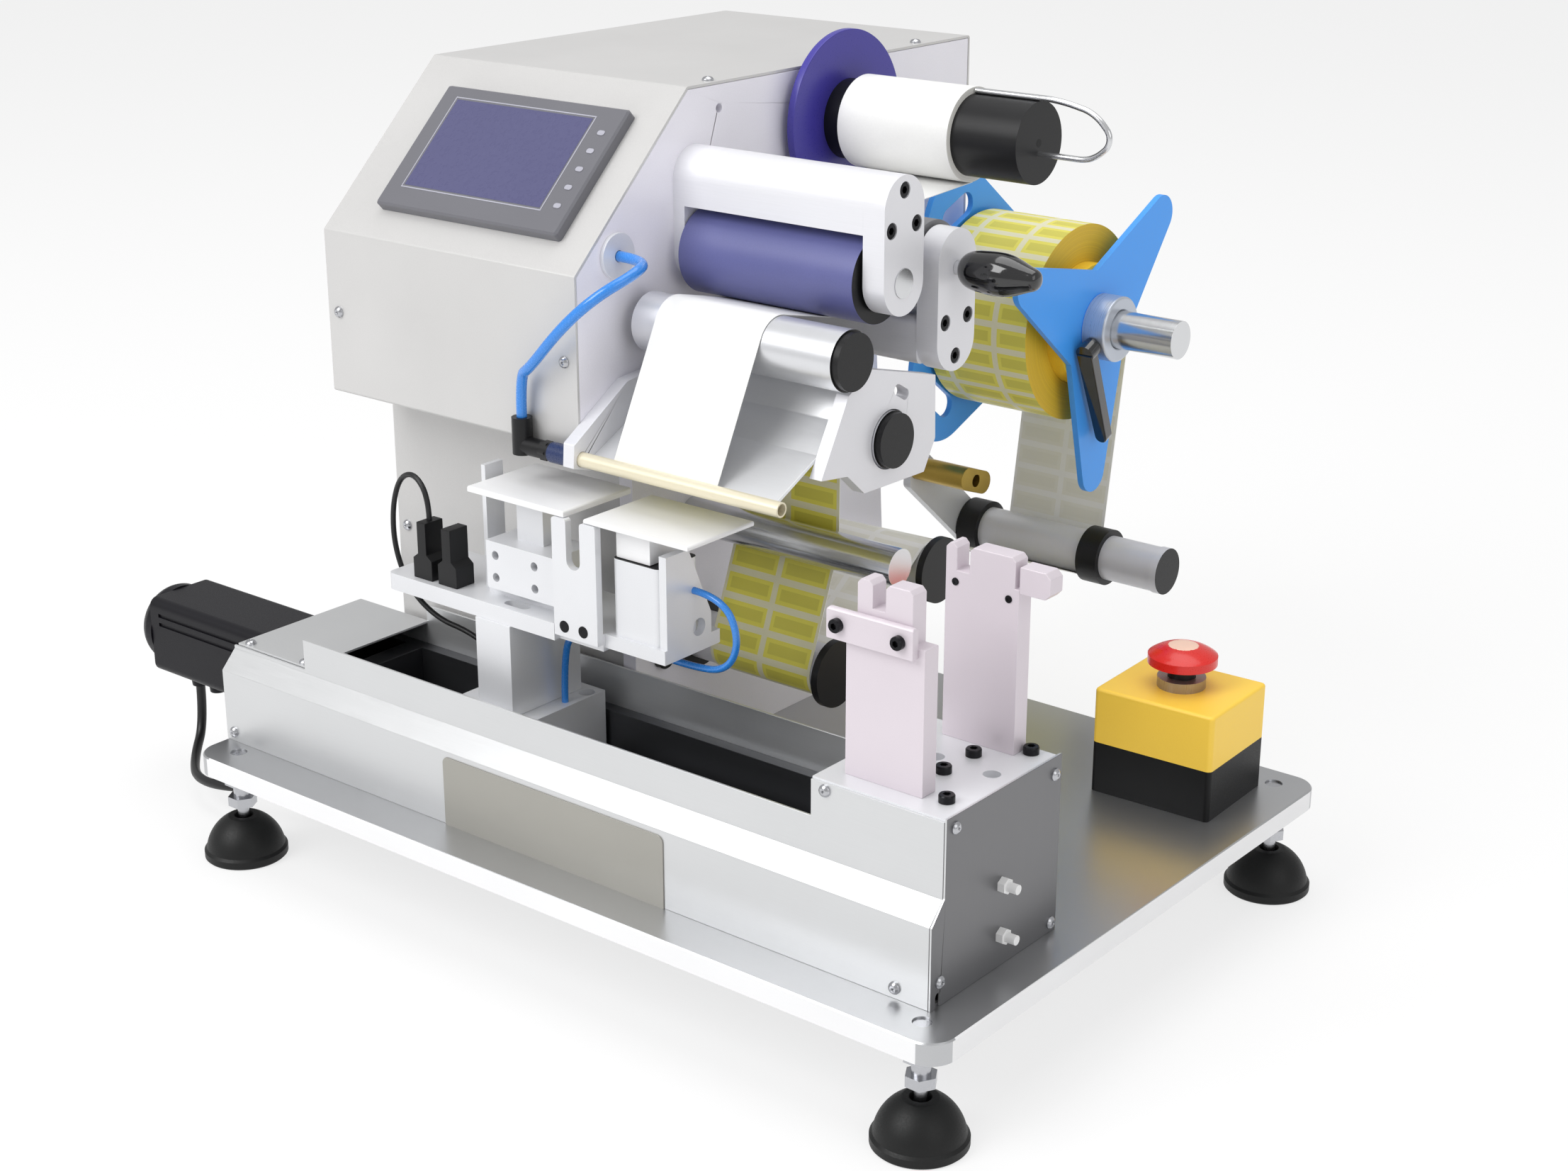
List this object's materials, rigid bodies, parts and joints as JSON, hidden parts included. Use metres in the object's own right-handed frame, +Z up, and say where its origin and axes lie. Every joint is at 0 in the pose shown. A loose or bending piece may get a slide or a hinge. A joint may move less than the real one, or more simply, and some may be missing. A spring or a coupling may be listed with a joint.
{
  "type": "cable flag labelling machine",
  "caption": "Bench machine that peels labels from a reel, folds each one round a cable on a travelling carriage and winds up the bare liner.",
  "frame": {"origin": "on the floor under the middle of the base plate", "axes": "+X along the front from the motor to the cable posts, +Y to the back, +Z up"},
  "size_m": [0.6835, 0.548, 0.4827],
  "materials": {
    "polished_plate": "polished, fine grain",
    "bright_steel": "turned and polished",
    "black_rubber": "moulded",
    "anodised_aluminium": "clear anodised",
    "brushed_cover": "brushed along its length",
    "pale_posts": "satin anodised",
    "black_motor": "semi-gloss",
    "black_cable": "smooth jacket",
    "painted_sheet": "satin light grey",
    "panel_plastic": "fine texture",
    "black_plastic": "moulded",
    "blue_hose": "smooth",
    "brass_tube": "drawn",
    "fitting_plastic": "moulded",
    "amber_plastic": "moulded",
    "red_plastic": "moulded",
    "blue_flange": "sheet with darker edge",
    "purple_flange": "turned sheet",
    "label_paper": "yellow-green film labels on pale liner",
    "liner_paper": "white paper",
    "blue_rubber": "ground smooth",
    "grey_rubber": "ground smooth",
    "black_screws": "black oxide",
    "bright_screws": "zinc plated"
  },
  "bodies": {
    "machine": {"base_plate": "polished_plate", "foot_stems": "bright_steel", "module_channel": "anodised_aluminium", "module_cover": "brushed_cover", "rear_cover": "brushed_cover", "end_block": "anodised_aluminium", "drive_motor": "black_motor", "motor_lead": "black_cable", "cable_posts": "pale_posts", "column": "painted_sheet", "cabinet": "painted_sheet", "main_plate": "painted_sheet", "touch_panel": "panel_plastic", "fixed_shafts": "bright_steel", "drive_bracket": "anodised_aluminium", "pressure_bracket": "anodised_aluminium", "guide_plates": "anodised_aluminium", "peel_plate": "bright_steel", "air_tube": "brass_tube", "air_fittings": "fitting_plastic", "air_hose": "blue_hose", "estop_base": "black_plastic", "estop_cover": "amber_plastic", "idler_bracket": "anodised_aluminium", "label_web": "label_paper", "socket_screws": "black_screws", "pan_screws": "bright_screws"},
    "carriage": {"carriage_block": "anodised_aluminium", "unit_stand": "anodised_aluminium", "slotted_bracket": "anodised_aluminium", "right_cylinder": "anodised_aluminium", "position_sensors": "black_plastic", "sensor_lead": "black_cable", "air_lines": "blue_hose"},
    "ball_screw": {"ball_screw": "bright_steel"},
    "left_jaw": {"left_slide": "anodised_aluminium", "left_fold_plate": "anodised_aluminium"},
    "right_jaw": {"right_fold_plate": "anodised_aluminium"},
    "foot_pad_front_left": {"foot_pad_front_left": "black_rubber"},
    "foot_pad_front_right": {"foot_pad_front_right": "black_rubber"},
    "foot_pad_back_left": {"foot_pad_back_left": "black_rubber"},
    "foot_pad_back_right": {"foot_pad_back_right": "black_rubber"},
    "estop_button": {"estop_button": "red_plastic"},
    "reel": {"reel_shaft": "bright_steel", "reel_inner_flange": "blue_flange", "reel_outer_flange": "blue_flange", "label_roll": "label_paper"},
    "clamp_lever": {"clamp_lever": "black_plastic"},
    "rewind": {"rewind_flange": "purple_flange", "rewind_core": "black_plastic", "liner_roll": "liner_paper", "wire_clip": "bright_steel"},
    "drive_roller": {"drive_roller": "blue_rubber"},
    "pressure_roller": {"pressure_roller": "grey_rubber"},
    "release_knob": {"release_knob": "black_plastic"},
    "upper_guide_roller": {"upper_guide_roller": "anodised_aluminium"},
    "lower_guide_roller": {"lower_guide_roller": "anodised_aluminium"},
    "front_flanged_roller": {"front_flanged_roller": "black_plastic"},
    "rear_flanged_roller": {"rear_flanged_roller": "black_plastic"},
    "idler_roller": {"idler_roller": "grey_rubber"}
  },
  "joints": [
    {"name": "carriage_travel", "type": "slide", "parent": "machine", "child": "carriage", "axis": [1, 0, 0], "range_m": [0, 0.214]},
    {"name": "screw_turn", "type": "hinge", "parent": "machine", "child": "ball_screw", "pos_m": [0, -0.108, 0.0975], "axis": [1, 0, 0], "range_deg": [0, 3852.5]},
    {"name": "left_fold", "type": "slide", "parent": "carriage", "child": "left_jaw", "axis": [1, 0, 0], "range_m": [0, 0.0055]},
    {"name": "right_fold", "type": "slide", "parent": "carriage", "child": "right_jaw", "axis": [-1, 0, 0], "range_m": [0, 0.0055]},
    {"name": "front_left_foot_turn", "type": "hinge", "parent": "machine", "child": "foot_pad_front_left", "pos_m": [-0.2535, -0.1754, 0], "axis": [0, 0, 1], "continuous": true},
    {"name": "front_right_foot_turn", "type": "hinge", "parent": "machine", "child": "foot_pad_front_right", "pos_m": [0.2535, -0.1754, 0], "axis": [0, 0, 1], "continuous": true},
    {"name": "back_left_foot_turn", "type": "hinge", "parent": "machine", "child": "foot_pad_back_left", "pos_m": [-0.2535, 0.1754, 0], "axis": [0, 0, 1], "continuous": true},
    {"name": "back_right_foot_turn", "type": "hinge", "parent": "machine", "child": "foot_pad_back_right", "pos_m": [0.2535, 0.1754, 0], "axis": [0, 0, 1], "continuous": true},
    {"name": "stop_press", "type": "slide", "parent": "machine", "child": "estop_button", "axis": [0, 0, -1], "range_m": [0, 0.004]},
    {"name": "reel_turn", "type": "hinge", "parent": "machine", "child": "reel", "pos_m": [0, 0.2532, 0.298], "axis": [1, 0, 0], "continuous": true},
    {"name": "lever_turn", "type": "hinge", "parent": "reel", "child": "clamp_lever", "pos_m": [0.0813, 0.23408, 0.29008], "axis": [0, -0.9239, -0.3827], "range_deg": [0, 90]},
    {"name": "rewind_turn", "type": "hinge", "parent": "machine", "child": "rewind", "pos_m": [0, 0.1297, 0.4311], "axis": [1, 0, 0], "continuous": true},
    {"name": "drive_turn", "type": "hinge", "parent": "machine", "child": "drive_roller", "pos_m": [0, 0.0022, 0.3749], "axis": [1, 0, 0], "continuous": true},
    {"name": "pressure_turn", "type": "hinge", "parent": "machine", "child": "pressure_roller", "pos_m": [0, 0.0514, 0.3749], "axis": [1, 0, 0], "continuous": true},
    {"name": "knob_turn", "type": "hinge", "parent": "machine", "child": "release_knob", "pos_m": [0, 0.0514, 0.3749], "axis": [1, 0, 0], "range_deg": [0, 90]},
    {"name": "upper_guide_turn", "type": "hinge", "parent": "machine", "child": "upper_guide_roller", "pos_m": [0, -0.0445, 0.3426], "axis": [1, 0, 0], "continuous": true},
    {"name": "lower_guide_turn", "type": "hinge", "parent": "machine", "child": "lower_guide_roller", "pos_m": [0, -0.0069, 0.2916], "axis": [1, 0, 0], "continuous": true},
    {"name": "front_flanged_turn", "type": "hinge", "parent": "machine", "child": "front_flanged_roller", "pos_m": [0, -0.0025, 0.1454], "axis": [1, 0, 0], "continuous": true},
    {"name": "rear_flanged_turn", "type": "hinge", "parent": "machine", "child": "rear_flanged_roller", "pos_m": [0, 0.0964, 0.1798], "axis": [1, 0, 0], "continuous": true},
    {"name": "idler_turn", "type": "hinge", "parent": "machine", "child": "idler_roller", "pos_m": [0, 0.2759, 0.14], "axis": [1, 0, 0], "continuous": true}
  ],
  "couplings": [
    {"joint": "screw_turn", "follows": "carriage_travel", "rad_per_m": 314.16},
    {"joint": "right_fold", "follows": "left_fold", "ratio": 1},
    {"joint": "pressure_turn", "follows": "drive_turn", "ratio": -1.0126}
  ]
}
